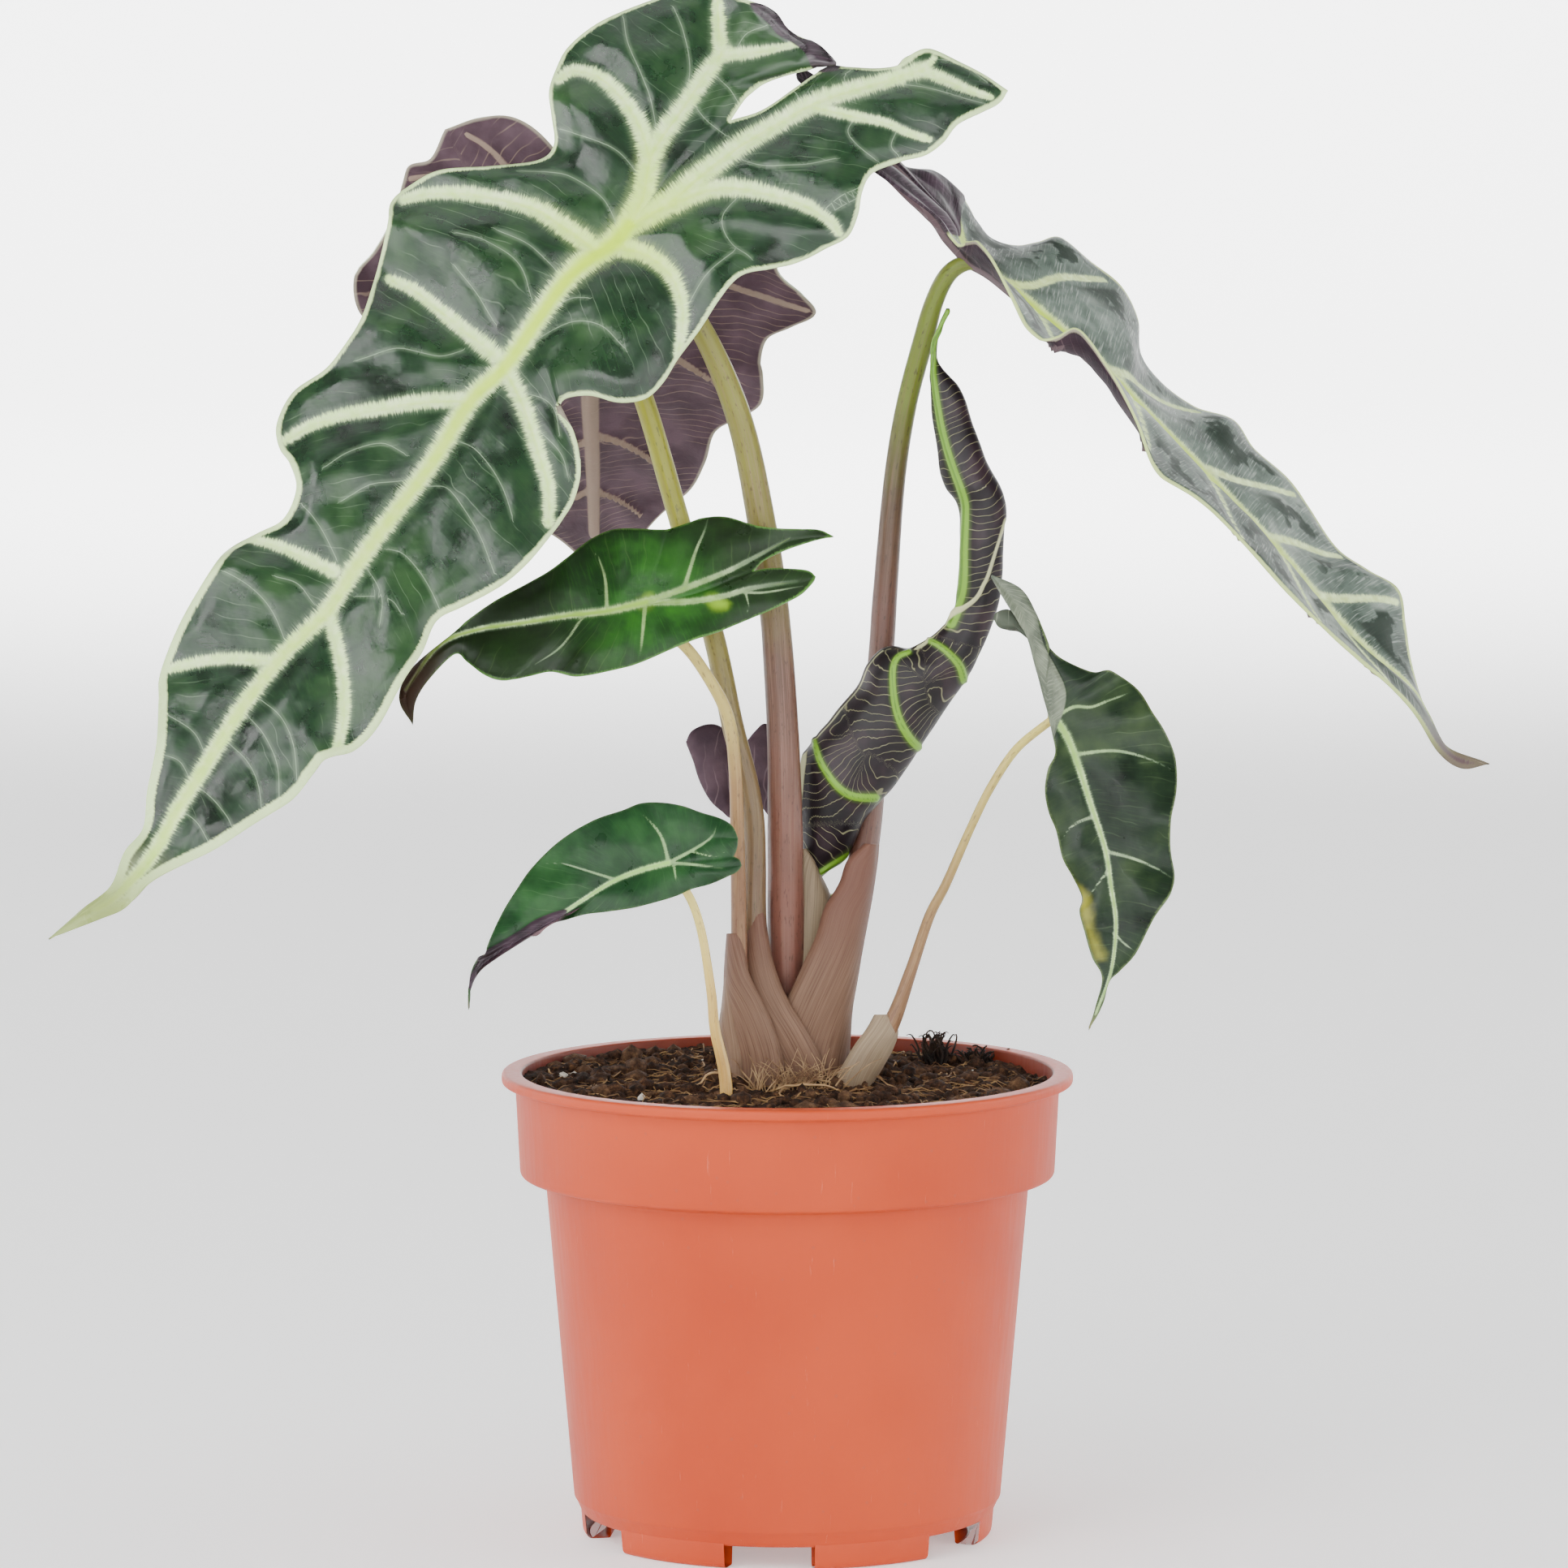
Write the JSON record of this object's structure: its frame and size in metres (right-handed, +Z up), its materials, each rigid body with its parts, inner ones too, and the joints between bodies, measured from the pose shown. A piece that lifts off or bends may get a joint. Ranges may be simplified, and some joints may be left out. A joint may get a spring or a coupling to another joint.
{
  "type": "potted polly african mask plant",
  "caption": "Foliage houseplant with arrow-shaped, pale-veined dark green leaves on tall stalks, growing in a round lipped plastic nursery pot on low feet.",
  "frame": {"origin": "on the ground, under the middle of the part's bounding box; the pot's axis stands 12.0 mm towards the viewer from it (-Y) and 0.3 mm to its left (-X)", "axes": "+Z up, +X to the right and +Y away from the viewer in the front view, where the big leaf leans left and shows its upper face"},
  "size_m": [0.2944, 0.1936, 0.3237],
  "materials": {
    "pot_plastic": "satin",
    "soil": "matte",
    "corm": "matte",
    "leaf": "satin",
    "young_leaf": "satin",
    "stalk": "satin",
    "small_stalk": "satin"
  },
  "bodies": {
    "root": {"pot": "pot_plastic", "soil": "soil", "corm": "corm", "blade_front": "leaf", "blade_back": "leaf", "blade_right": "leaf", "blade_middle": "leaf", "blade_lower_left": "leaf", "blade_lower_right": "leaf", "blade_young": "young_leaf", "petiole_front": "stalk", "petiole_back": "stalk", "petiole_right": "stalk", "petiole_young": "stalk", "petiole_middle": "small_stalk", "petiole_lower_left": "small_stalk", "petiole_lower_right": "small_stalk"}
  },
  "joints": []
}
